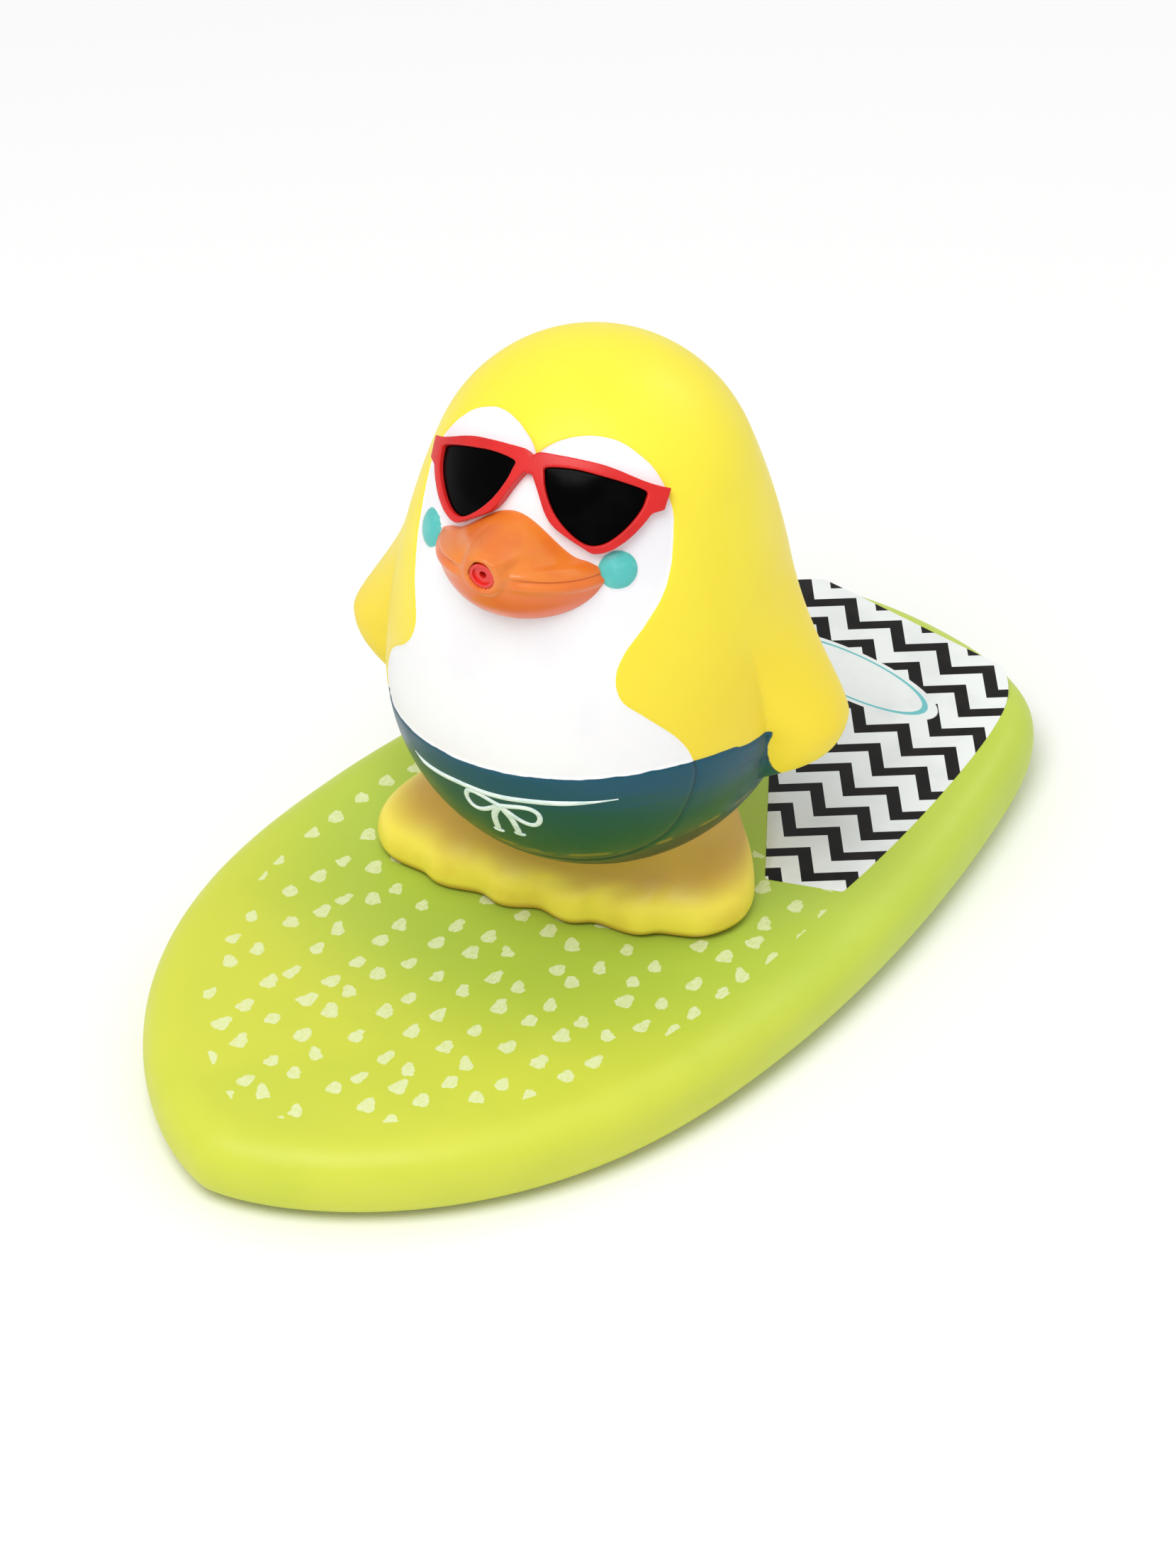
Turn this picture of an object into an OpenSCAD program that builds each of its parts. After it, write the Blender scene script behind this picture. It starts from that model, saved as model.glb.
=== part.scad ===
// Floating squirt toy for the bath: a round bird figure standing on a hollow surfboard.
// The figure turns on a rigid peg that is caught in the board, and it lifts off that peg.
// Origin: middle of the board's flat underside. +Z is up, -Y is the nose, +Y is the tail.

/* [Board] */
// Length from nose to tail
board_length = 180; // [150:1:220]
// Width at the widest place
board_width = 97; // [80:1:120]
// Thickness, flat deck to flat underside
board_thick = 13; // [12:0.5:18]
// How far the widest place lies from mid-length, towards the nose
widest_shift = 7; // [0:1:15]
// Share of the width that the outline loses towards the tail
tail_taper = 0.43; // [0.3:0.01:0.6]
// How far the rounded rail reaches in from the edge
rail_inset = 8; // [5:0.5:9]
// Wall of the hollow board
board_wall = 2; // [1.5:0.25:2.5]

/* [Tail pad] */
// Thickness of the printed pad, which lies flush in the deck
pad_thick = 0.4; // [0.3:0.1:0.8]
// Distance of the pad's front corners behind the figure's axis
pad_start = 12.5; // [10:0.5:20]
// Half distance between the two forward points beside the notch
pad_point = 25; // [20:0.5:28]
// Depth of the notch in the pad's front edge
pad_notch = 32; // [20:1:38]
// Pad's distance from the board's edge at the pad's front
pad_margin_front = 9.8; // [8:0.1:12]
// Pad's distance from the board's edge at the tail
pad_margin_tail = 5.2; // [4.5:0.1:8]

/* [Figure's place] */
// Place of the figure's axis along the board, from mid-length
figure_y = 2.8; // [-10:0.1:10]
// Turn of the figure at rest, anticlockwise from above
figure_yaw = 18; // [0:1:45]
// Turn of the face against the feet
face_turn = -3; // [-10:0.5:10]
// Turn of the beak against the feet
beak_turn = -6.5; // [-9:0.5:-3]
// Sideways tilt of the sunglasses and the beak
face_tilt = 3; // [0:1:6]

/* [Figure's body] */
// Height of the egg-shaped body
body_height = 90; // [74:1:110]
// Radius of the belly
belly_r = 32.6; // [27:0.1:39]
// Radius of the head
crown_r = 26; // [22:0.1:28]
// Radius of the long curve between belly and head
flank_r = 131; // [120:1:200]
// Height of the body's lowest point above the deck
body_lift = 6.6; // [5:0.1:8]
// Wall of the body
body_wall = 2.2; // [1.5:0.1:3]
// Diameter of the mouth under the body, which the foot base closes
mouth_d = 26; // [21:0.5:30]

/* [Flippers] */
// How far a flipper stands out from the body
flipper_out = 8.7; // [6:0.1:12]
// Height of the flipper's widest place above the body's lowest point
flipper_tip = 29.5; // [26:0.5:33]
// Height at which the flipper starts to leave the body
flipper_top = 55.5; // [50:0.5:62]
// Height of the flipper's lower end
flipper_end = 21.5; // [15:0.5:23]
// Half angle that a flipper takes on the body at its lower end
flipper_half = 16; // [12:1:18]
// How far the flippers are swept back, as an angle
flipper_sweep = 4; // [0:1:6]
// How much higher the left flipper sits than the right one
flipper_raise = 2.4; // [0:0.1:3]

/* [Beak] */
// How far the beak's tip is from the body's axis
beak_reach = 34.4; // [32:0.1:40]
// Height of the beak's corners above the head's centre
beak_z = 2.4; // [1.5:0.1:3.5]
// How much higher the beak's tip is than its corners
beak_rise = 3.2; // [2:0.1:4]
// Half width of the beak
beak_half_w = 15.2; // [13:0.1:16.5]
// Height of the hump of the upper half of the beak
beak_up = 8.6; // [7:0.1:9.2]
// Height of the upper half at the beak's corners
beak_lip = 1.4; // [0.8:0.1:2]
// Height of the lower half of the beak
beak_down = 9.9; // [8:0.1:11]
// Outside diameter of the squirt nozzle
nozzle_d = 4.2; // [3.8:0.1:5]
// Diameter of the nozzle's mouth
nozzle_mouth = 3.2; // [2.4:0.1:3.4]
// Bore of the squirt nozzle
nozzle_bore = 1.2; // [1:0.1:2]
// Width of the raised lip of the beak round the nozzle
nozzle_lip = 0.9; // [0.6:0.1:1.4]

/* [Sunglasses] */
// How far the frame stands out from the face
frame_out = 1.5; // [1:0.1:2]
// How far the lenses stand out from the face
lens_out = 1; // [0.6:0.1:1]

/* [Feet] */
// Half width of the foot base
foot_half_w = 31.5; // [27:0.5:34]
// How far the foot base's middle lies in front of the body's axis
foot_forward = 6; // [4:0.5:8]
// Sideways offset of the foot base's middle
foot_offset = -2.5; // [-4:0.5:0]
// Reach of the toes in front of that middle
foot_front = 12.5; // [11:0.1:15]
// Reach of the heels behind that middle
foot_back = 26; // [24:0.5:30]
// Height of the toes
toe_height = 5.8; // [5:0.1:7]
// Distance from toe to toe
toe_pitch = 11; // [10:0.5:13]
// Depth of the grooves between the toes
toe_groove = 0.8; // [0:0.1:1.2]
// Reach of the ankle in front of the body's axis
ankle_front = 15.5; // [14:0.5:17]
// Reach of the ankle behind the body's axis
ankle_back = 17; // [15:0.5:20]

/* [Peg and socket] */
// Diameter of the peg
peg_d = 12; // [10:0.5:14]
// Height of the peg above the deck
peg_height = 11; // [9:0.5:11.5]
// Diameter of the peg's flange
peg_flange_d = 16; // [15:0.5:18]
// Thickness of the peg's flange
peg_flange_t = 1.5; // [1:0.1:2]
// Outside diameter of the socket's cup
socket_d = 20; // [19:0.5:24]
// How far the socket's flange reaches past its cup
socket_lip = 3; // [2:0.5:4]
// Thickness of the socket's flange
socket_lip_t = 1; // [0.8:0.1:1.4]
// Thickness of the socket's floor
socket_floor = 1.5; // [1:0.1:2]
// Height of the snap bead that keeps the peg in the socket
bead_out = 0.5; // [0.3:0.1:0.6]

/* [Board plug] */
// Diameter of the plug's neck in the underside
plug_d = 10; // [8:0.5:14]
// Place of the plug behind the figure's axis
plug_back = 45; // [35:1:55]

/* [Clearances] */
// Radial clearance between a turning or sliding peg and its bore
fit_gap = 0.05; // [0.02:0.01:0.1]
// Clearance between faces that pass each other
turn_gap = 0.3; // [0.2:0.05:0.5]

/* [Hidden] */
$fn = 48;

lime = "yellowgreen";
yellow = "gold";
mustard = "goldenrod";

// ---- Board outline ----

quarter = 24;                                  // points on a quarter of the outline
widest_y = -widest_shift;
nose_length = board_length / 2 - widest_shift;
tail_length = board_length / 2 + widest_shift;

// Half width of the board at a share s of the way from its widest place to the nose or the tail
function nose_half(s) = board_width / 2 * pow(1 - pow(s, 2.5), 0.67);
function tail_half(s) = board_width / 2 * (1 - tail_taper * pow(s, 1.8)) * sqrt(1 - pow(s, 19));

// Shares that crowd together towards the end, where the outline turns
function nose_share(v) = 1 - pow(1 - v, 2);
function tail_share(v) = 1 - pow(1 - v, 2.2);

function outline_half(y) = y < widest_y
    ? nose_half((widest_y - y) / nose_length)
    : tail_half((y - widest_y) / tail_length);

// Outline point i of 4 quarters, from the nose round by +X to the tail and back by -X
function outline(i) =
    let (side = i <= 2 * quarter ? 1 : -1,
         k = i <= 2 * quarter ? i : 4 * quarter - i,
         s = k <= quarter ? nose_share(1 - k / quarter) : tail_share(k / quarter - 1))
    k <= quarter
        ? [side * nose_half(s), widest_y - nose_length * s]
        : [side * tail_half(s), widest_y + tail_length * s];

function unit(p) = p / norm(p);

// The outline moved in towards the figure's axis, at height z
function board_ring(inset, z) =
    [for (i = [0:4 * quarter - 1])
        let (p = outline(i), q = p - inset * unit(p - [0, figure_y])) [q.x, q.y, z]];

// A round ring about (0, y), with its points on the rays to the outline
function hole_ring(y, r, z) =
    [for (i = [0:4 * quarter - 1])
        let (q = [0, y] + r * unit(outline(i) - [0, y])) [q.x, q.y, z]];

// Rail profile: how far in and how high at an angle from -90 (underside) to 90 (deck)
rail_round = 2.3;
function rail_in(a) = rail_inset * (1 - pow(cos(a), 2 / rail_round));
function rail_z(a, thick) =
    board_thick / 2 + thick / 2 * sign(a) * pow(abs(sin(a)), 2 / rail_round);

// ---- Body profile: belly arc, flank arc and head arc, tangent to each other ----

body_bottom = body_lift;
belly_z = body_bottom + belly_r;
crown_z = body_bottom + body_height - crown_r;
mouth_r = mouth_d / 2;
belly_to_flank = flank_r - belly_r;
crown_to_flank = flank_r - crown_r;
flank_z = (pow(belly_to_flank, 2) - pow(crown_to_flank, 2)) / (2 * (crown_z - belly_z))
    + (belly_z + crown_z) / 2;
flank_x = -sqrt(pow(belly_to_flank, 2) - pow(flank_z - belly_z, 2));
belly_end = atan2(belly_z - flank_z, -flank_x);   // where the belly arc meets the flank
crown_start = atan2(crown_z - flank_z, -flank_x); // where the flank meets the head arc

// Radius of the body at height z, for a surface grown by off
function body_r(z, off = 0) =
    z < belly_z + (belly_r + off) * sin(belly_end)
        ? sqrt(max(0, pow(belly_r + off, 2) - pow(z - belly_z, 2)))
    : z > crown_z + (crown_r + off) * sin(crown_start)
        ? sqrt(max(0, pow(crown_r + off, 2) - pow(z - crown_z, 2)))
    : flank_x + sqrt(pow(flank_r + off, 2) - pow(z - flank_z, 2));

// Heights of the rings, from radius r_low under the body to just below the top
function arc_heights(off, r_low, belly_n, flank_n, crown_n) =
    let (first = -acos(r_low / (belly_r + off)))
    concat(
        [for (i = [0:belly_n - 1])
            belly_z + (belly_r + off) * sin(first + (belly_end - first) * i / belly_n)],
        [for (i = [0:flank_n - 1])
            flank_z + (flank_r + off) * sin(belly_end + (crown_start - belly_end) * i / flank_n)],
        [for (i = [0:crown_n - 1])
            crown_z + (crown_r + off) * sin(crown_start + (90 - crown_start) * i / crown_n)]);

// ---- Flippers ----

flipper_tip_z = body_bottom + flipper_tip;
flipper_top_z = body_bottom + flipper_top;
flipper_end_z = body_bottom + flipper_end;

// How far the flipper's edge stands out at height z
function flipper_edge(z) =
    z >= flipper_top_z || z <= flipper_end_z ? 0
    : z > flipper_tip_z
        ? flipper_out * pow(1 - pow((z - flipper_tip_z) / (flipper_top_z - flipper_tip_z), 1.2), 2)
        : flipper_out * sqrt(1 - pow((flipper_tip_z - z) / (flipper_tip_z - flipper_end_z), 2.6));

// Its share across the flipper, at angle a from the flipper's middle
function flipper_half_at(z) = flipper_half + 7 * max(0, (z - flipper_tip_z) / (flipper_top_z - flipper_tip_z));
function flipper_share(a, z) = pow(max(0, 1 - pow(abs(a) / flipper_half_at(z), 2.5)), 0.9);
function flipper(a, z) =
    let (level = a < 0 ? z - flipper_raise : z)
    flipper_edge(level) * flipper_share(abs(abs(a) - 90 - flipper_sweep), level);

// Angles of a ring's points, closer together on the flippers
flipper_step = 3;
flipper_first = 69;
flipper_last = 120;
wide_steps = 10;
front_step = flipper_first / wide_steps;
back_step = (180 - flipper_last) / wide_steps;
half_angles = concat(
    [for (i = [0:wide_steps - 1]) i * front_step],
    [for (a = [flipper_first:flipper_step:flipper_last]) a],
    [for (i = [1:wide_steps - 1]) flipper_last + i * back_step]);
ring_angles = concat(half_angles, [180], [for (i = [len(half_angles) - 1:-1:1]) -half_angles[i]]);

function at_angle(r, a, z) = [r * sin(a), -r * cos(a), z];
function body_ring(z, off = 0, flippers = false) =
    [for (a = ring_angles) at_angle(body_r(z, off) + (flippers ? flipper(a, z) : 0), a, z)];

// ---- Skins ----

// Faces between rings of n points; the last ring joins the first when looped
function skin_faces(rings, n, looped) =
    [for (j = [0:rings - (looped ? 1 : 2)], i = [0:n - 1])
        let (a = j * n + i, b = j * n + (i + 1) % n, k = (j + 1) % rings,
             c = k * n + (i + 1) % n, d = k * n + i)
        each [[a, c, b], [a, d, c]]];

// A closed skin over rings that run anticlockwise, seen from the side that the rings go towards
module skin(rings, looped = false, first_pole = undef, last_pole = undef) {
    n = len(rings[0]);
    m = len(rings);
    points = concat([for (r = rings) each r], looped ? [] : [first_pole, last_pole]);
    caps = looped ? [] : concat(
        [for (i = [0:n - 1]) [i, (i + 1) % n, m * n]],
        [for (i = [0:n - 1]) [(m - 1) * n + (i + 1) % n, (m - 1) * n + i, m * n + 1]]);
    polyhedron(points, concat(skin_faces(m, n, looped), caps), convexity = 6);
}

// ---- Places ----

module on_axis() translate([0, figure_y, 0]) children();
module in_figure() translate([0, figure_y, board_thick]) rotate(figure_yaw) children();
module in_face() in_figure() rotate(face_turn) children();
// About the head's centre, turned and tilted with the beak
module in_beak() in_figure() rotate(beak_turn) translate([0, 0, crown_z]) rotate([0, -face_tilt, 0]) children();

// ---- Fits ----

peg_r = peg_d / 2;
bore_r = peg_r + fit_gap;
socket_r = socket_d / 2;
lip_r = socket_r + socket_lip;
socket_low = board_wall;                       // the cup stands on the board's inner floor
socket_floor_z = socket_low + socket_floor;
flange_seat_z = board_thick - peg_flange_t - 2 * fit_gap;
bead_z = socket_floor_z + 2.5;
bead_height = 1;
foot_low = turn_gap;                           // height of the feet's underside above the deck
foot_bore_top = peg_height + turn_gap;
spigot_top = foot_bore_top + 2.5;
nozzle_z = beak_z + beak_rise;                 // above the head's centre
nozzle_r = nozzle_d / 2;
nozzle_front = beak_reach + 0.1;
nozzle_back = body_r(crown_z + nozzle_z) - body_wall - 0.8;

// ---- Board ----

rail_step = 15;
inner_step = 30;

module board_hollow_skin() {
    inner_thick = board_thick - 2 * board_wall;
    skin(concat(
        [hole_ring(figure_y + plug_back, plug_d / 2 - 1, 0)],
        [for (a = [-90:rail_step:90]) board_ring(rail_in(a), rail_z(a, board_thick))],
        [hole_ring(figure_y, socket_r - 1, board_thick)],
        [hole_ring(figure_y, socket_r - 1, board_thick - board_wall)],
        [for (a = [90:-inner_step:-90]) board_ring(board_wall + rail_in(a), rail_z(a, inner_thick))],
        [hole_ring(figure_y + plug_back, plug_d / 2 - 1, board_wall)]),
        looped = true);
}

module board_shell() {
    color(lime) difference() {
        board_hollow_skin();
        on_axis() translate([0, 0, board_thick / 2]) cylinder(r = socket_r, h = board_thick);
        on_axis() translate([0, 0, board_thick - socket_lip_t]) cylinder(r = lip_r, h = board_thick);
        on_axis() translate([0, plug_back, -board_thick / 2]) cylinder(d = plug_d, h = board_thick);
        translate([0, 0, board_thick - pad_thick]) linear_extrude(board_thick) pad_outline();
    }
}

module board_socket() {
    groove_gap = 0.1;
    color("white") on_axis() difference() {
        union() {
            translate([0, 0, socket_low]) cylinder(r = socket_r, h = board_thick - socket_low);
            translate([0, 0, board_thick - socket_lip_t]) cylinder(r = lip_r, h = socket_lip_t);
        }
        translate([0, 0, socket_floor_z]) cylinder(r = bore_r, h = board_thick);
        translate([0, 0, flange_seat_z]) cylinder(d = peg_flange_d + 4 * fit_gap, h = board_thick);
        translate([0, 0, bead_z - groove_gap])
            cylinder(r = bore_r + bead_out, h = bead_height + 2 * groove_gap);
    }
}

module board_plug() {
    neck_low = 0.3;
    head_over = 1.2;
    color(lime) on_axis() translate([0, plug_back, 0]) {
        translate([0, 0, neck_low]) cylinder(d = plug_d, h = board_wall - neck_low);
        translate([0, 0, board_wall]) cylinder(d = plug_d + 2 * head_over, h = head_over);
    }
}

pad_front_y = figure_y + pad_start;
pad_corner_y = pad_front_y + 5.5;
pad_tail_y = board_length / 2 - pad_margin_tail;
pad_steps = 10;
function pad_share(y) = (y - pad_corner_y) / (pad_tail_y - pad_corner_y);
function pad_half(y) = outline_half(y) - pad_margin_front
    + (pad_margin_front - pad_margin_tail) * pad_share(y);
function pad_side_y(i) = pad_corner_y + (pad_tail_y - pad_corner_y) * (1 - pow(1 - i / pad_steps, 1.6));
pad_side = [for (i = [0:pad_steps - 1]) let (y = pad_side_y(i)) [pad_half(y), y]];
tail_corner = 6;

module pad_outline() {
    half = concat([[0, pad_front_y + pad_notch], [pad_point, pad_front_y]],
        pad_side, [[pad_half(pad_tail_y) - tail_corner, pad_tail_y]]);
    polygon(concat(half, [for (i = [len(half) - 1:-1:1]) [-half[i].x, half[i].y]]));
}

module tail_pad() {
    color("whitesmoke") translate([0, 0, board_thick - pad_thick])
        linear_extrude(pad_thick) pad_outline();
}

// ---- Peg ----

module swivel_peg() {
    tip = 1;
    low = socket_floor_z + turn_gap;
    flange_top = board_thick - fit_gap;
    color("white") on_axis() {
        translate([0, 0, low]) cylinder(r = peg_r, h = board_thick + peg_height - tip - low);
        translate([0, 0, board_thick + peg_height - tip]) cylinder(r1 = peg_r, r2 = peg_r - tip, h = tip);
        translate([0, 0, flange_top - peg_flange_t]) cylinder(d = peg_flange_d, h = peg_flange_t);
        translate([0, 0, bead_z]) cylinder(r = peg_r + bead_out - fit_gap, h = bead_height);
    }
}

// ---- Figure ----

module body_shell() {
    inner = -body_wall;
    low_r = mouth_r - 1;
    inner_heights = arc_heights(inner, low_r, 6, 3, 4);
    outer_heights = arc_heights(0, low_r, 17, 11, 9);
    color(yellow) difference() {
        in_figure() skin(concat(
            [for (j = [len(inner_heights) - 1:-1:0]) body_ring(inner_heights[j], inner)],
            [for (z = outer_heights) body_ring(z, 0, true)]),
            first_pole = [0, 0, crown_z + crown_r - body_wall],
            last_pole = [0, 0, crown_z + crown_r]);
        in_figure() cylinder(r = mouth_r, h = spigot_top);
        in_beak() along_nozzle(nozzle_back) cylinder(r = nozzle_r, h = beak_reach);
    }
}

// On the nozzle's line through the face and the beak, at a distance from the body's axis
module along_nozzle(distance) translate([0, -distance, nozzle_z]) rotate([90, 0, 0]) children();

foot_points = 72;
// Radius of a rounded oblong at angle a from the front: half width w, front and back reach, roundness powers
function oblong(a, w, front, back, front_power, back_power) =
    let (depth = abs(a) < 90 ? front : back,
         power = abs(a) < 90 ? front_power : back_power)
    pow(pow(abs(sin(a)) / w, power) + pow(abs(cos(a)) / depth, power), -1 / power);
// Reach of the foot base from its middle, with toes along its front
function foot_reach(a) =
    let (r = oblong(a, foot_half_w, foot_front, foot_back, 2.6, 1.7),
         in_front = max(0, min(1, (cos(a) - 0.1) / 0.4)),
         across = r * sin(a) + foot_offset)
    r + toe_groove * in_front * cos(360 * (across + 8) / toe_pitch);

// Height of the belly's underside at radius r
function belly_under(r) = belly_z - sqrt(belly_r * belly_r - r * r);

ankle_r = belly_r * 0.68;                      // where the foot base meets the belly at its sides
foot_middle = [foot_offset, -foot_forward, 0];
function foot_ring(share, z) =
    [for (i = [0:foot_points - 1]) let (a = 360 * i / foot_points - 180)
        at_angle(foot_reach(a) * share, a, z) + foot_middle];
// From the toes' tops in and up to the belly; up runs from 0 to 1
function foot_slope(up) =
    [for (i = [0:foot_points - 1])
        let (a = 360 * i / foot_points - 180,
             high_r = oblong(a, ankle_r, ankle_front, ankle_back, 2.4, 2.4),
             low = at_angle(foot_reach(a) * 0.9, a, 0) + foot_middle,
             flat = low + (at_angle(high_r, a, 0) - low) * sqrt(up))
        [flat.x, flat.y, toe_height + (belly_under(high_r) + 1 - toe_height) * pow(up, 1.2)]];

module foot_base() {
    color(mustard) in_figure() difference() {
        union() {
            difference() {
                skin(concat(
                    [foot_ring(0.95, foot_low), foot_ring(0.99, foot_low + 0.8), foot_ring(1, 2.2),
                     foot_ring(0.985, toe_height * 0.66), foot_ring(0.945, toe_height * 0.9)],
                    [for (up = [0:0.25:1]) foot_slope(up)]),
                    first_pole = foot_middle + [0, 0, foot_low],
                    last_pole = [0, 0, belly_under(mouth_r)]);
                translate([0, 0, belly_z]) sphere(r = belly_r);
            }
            translate([0, 0, foot_low + 2]) cylinder(r = mouth_r, h = spigot_top - foot_low - 2);
        }
        cylinder(r = bore_r, h = foot_bore_top);
    }
}

// ---- Face ----

// The body as a turned solid without flippers, grown by off
module egg(off) {
    heights = arc_heights(off, 4, 8, 8, 10);
    rotate_extrude($fn = 48) polygon(concat(
        [[0, heights[0]]],
        [for (z = heights) [body_r(z, off), z]],
        [[0, crown_z + crown_r + off]]));
}

beak_root = 16;                                // the beak's loft starts inside the head
beak_points = 32;
beak_rings = 10;
// The beak's height at angle a round a ring: a bell with flat corners above, a round jaw below
function beak_height(a, t) =
    let (up = beak_up * pow(1 - pow(t, 2.2), 0.75),
         down = beak_down * pow(1 - pow(t, 4), 0.35),
         lip = min(beak_lip, up))
    sin(a) > 0
        ? lip * pow(sin(a), 0.8) + (up - lip) * pow(sin(a), 5)
        : -down * pow(-sin(a), 0.85);
// Ring at a share t of the way from the root to the tip
function beak_ring(t) =
    let (w = beak_half_w * sqrt(1 - t * t))
    [for (i = [0:beak_points - 1])
        let (a = 360 * i / beak_points)
        [w * cos(a), -(beak_root + (beak_reach - beak_root) * t), beak_z + beak_rise * t * t + beak_height(a, t)]];

module beak() {
    lip_depth = 2.5;
    color("darkorange") difference() {
        in_beak() difference() {
            union() {
                skin([for (j = [0:beak_rings - 1]) beak_ring(sin(88 * j / (beak_rings - 1)))],
                    first_pole = [0, -beak_root, beak_z],
                    last_pole = [0, -beak_reach, beak_z + beak_rise]);
                along_nozzle(nozzle_front - lip_depth) cylinder(r = nozzle_r + nozzle_lip, h = lip_depth);
            }
            along_nozzle(nozzle_back) cylinder(r = nozzle_r, h = beak_reach);
        }
        in_figure() egg(0);
    }
}

module squirt_nozzle() {
    mouth_depth = 0.4;
    color("red") in_beak() difference() {
        along_nozzle(nozzle_back) cylinder(r = nozzle_r, h = nozzle_front - nozzle_back);
        along_nozzle(nozzle_back - 1) cylinder(d = nozzle_bore, h = beak_reach);
        along_nozzle(nozzle_front - mouth_depth) cylinder(d = nozzle_mouth, h = beak_reach);
    }
}

// Half outline of the sunglasses, seen from the front, about the head's centre
frame_half = [[0, 18], [1.6, 18.5], [6.9, 18.1], [12, 16.7], [18.8, 13], [18.7, 10.6], [17.4, 10.6],
    [16.4, 9.1], [14.9, 7.5], [13.1, 6.4], [11.1, 6.1], [9.4, 7.1], [6.9, 8.7], [5, 10], [3.6, 11.6],
    [2.2, 13.9], [0.7, 15.9], [0, 15.9]];
lens_half = [[2.6, 17], [6.9, 17], [12.1, 15.6], [16, 13.7], [16.4, 12.5], [16, 11], [14.7, 9.2],
    [12.9, 7.7], [11.3, 7.2], [9.6, 7.6], [7.3, 9.3], [5, 11.6], [3.3, 14.1], [2.5, 16]];
function mirrored(points) = [for (i = [len(points) - 2:-1:1]) [-points[i].x, points[i].y]];

module frame_outline() polygon(concat(frame_half, mirrored(frame_half)));
module lens_outline(side) polygon([for (p = lens_half) [side * p.x, p.y]]);

// A front outline cut from a layer that lies on the face
module on_face(thick) intersection() {
    translate([0, 0, crown_z]) rotate([90, -face_tilt, 0]) linear_extrude(crown_r + 5) children();
    difference() {
        egg(thick);
        egg(0);
    }
}

module sunglasses_frame() {
    color("crimson") in_face() on_face(frame_out) difference() {
        frame_outline();
        lens_outline(1);
        lens_outline(-1);
    }
}

module lens(side) color("black") in_face() on_face(lens_out) lens_outline(side);

module lens_left() lens(1);
module lens_right() lens(-1);

board_shell();
board_socket();
board_plug();
tail_pad();
swivel_peg();
foot_base();
body_shell();
beak();
squirt_nozzle();
sunglasses_frame();
lens_left();
lens_right();
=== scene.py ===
"""Looks of the floating squirt toy: a bird figure on a surfboard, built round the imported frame.

Sizes are in millimetres and angles in degrees; points become metres when a mesh is made.
"""
import math

import bpy
import numpy as np
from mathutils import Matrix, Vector


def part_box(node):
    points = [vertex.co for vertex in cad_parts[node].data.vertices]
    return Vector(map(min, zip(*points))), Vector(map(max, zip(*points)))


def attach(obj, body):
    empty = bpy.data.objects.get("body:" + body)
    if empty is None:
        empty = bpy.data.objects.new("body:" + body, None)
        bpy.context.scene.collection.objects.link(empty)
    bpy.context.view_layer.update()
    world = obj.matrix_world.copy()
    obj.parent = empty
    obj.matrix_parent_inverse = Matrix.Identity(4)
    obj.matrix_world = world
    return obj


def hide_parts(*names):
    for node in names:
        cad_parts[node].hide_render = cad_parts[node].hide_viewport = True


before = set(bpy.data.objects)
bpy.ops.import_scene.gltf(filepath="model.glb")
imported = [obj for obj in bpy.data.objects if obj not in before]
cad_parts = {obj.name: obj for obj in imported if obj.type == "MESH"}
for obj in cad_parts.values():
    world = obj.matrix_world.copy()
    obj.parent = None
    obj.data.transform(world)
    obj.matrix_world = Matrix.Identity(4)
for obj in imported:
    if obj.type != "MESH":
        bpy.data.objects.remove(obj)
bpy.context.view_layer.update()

MM = 0.001


def box_mm(node):
    low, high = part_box(node)
    return np.array(low) / MM, np.array(high) / MM


# ---- Driving sizes, from the frame where it has them ----

board_low, board_high = box_mm("board_shell")
body_high = box_mm("body_shell")[1]
peg_low, peg_high = box_mm("swivel_peg")
socket_low, socket_high = box_mm("board_socket")
plug_low, plug_high = box_mm("board_plug")
foot_low_corner = box_mm("foot_base")[0]

LENGTH = board_high[1] - board_low[1]
WIDTH = board_high[0] - board_low[0]
DECK = board_high[2]
AXIS_Y = (peg_low[1] + peg_high[1]) / 2
YAW = 18.0           # turn of the figure on the board
FACE_TURN = -5.0     # turn of the painted face against the feet
GLASSES_TURN = -3.0  # turn of the sunglasses against the feet
BEAK_TURN = -6.5     # turn of the beak against the feet
TILT = 3.0           # sideways tilt of the sunglasses and the beak


# ---- Small mathematics ----

def sin(angle):
    return np.sin(np.radians(angle))


def cos(angle):
    return np.cos(np.radians(angle))


def smooth_step(value, low, high):
    share = np.clip((value - low) / (high - low), 0, 1)
    return share * share * (3 - 2 * share)


def bell(value, width):
    return np.exp(-(value / width) ** 2)


def spline(points, per=10, closed=False):
    """A smooth line through the points, with per steps between each two."""
    p = np.array(points, float)
    if closed:
        p = np.vstack([p[-1:], p, p[:2]])
    else:
        p = np.vstack([2 * p[0] - p[1], p, 2 * p[-1] - p[-2]])
    t = np.arange(per)[:, None] / per
    runs = []
    for a, b, c, d in zip(p[:-3], p[1:-2], p[2:-1], p[3:]):
        runs.append(0.5 * (2 * b + (c - a) * t + (2 * a - 5 * b + 4 * c - d) * t ** 2
                           + (3 * b - a - 3 * c + d) * t ** 3))
    if not closed:
        runs.append(p[-2:-1])
    return np.vstack(runs)


def bezier(a, b, c, d, count=22):
    """Points of a cubic curve."""
    t = np.linspace(0, 1, count)[:, None]
    a, b, c, d = [np.array(p, float) for p in (a, b, c, d)]
    return a * (1 - t) ** 3 + 3 * b * t * (1 - t) ** 2 + 3 * c * t ** 2 * (1 - t) + d * t ** 3


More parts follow.
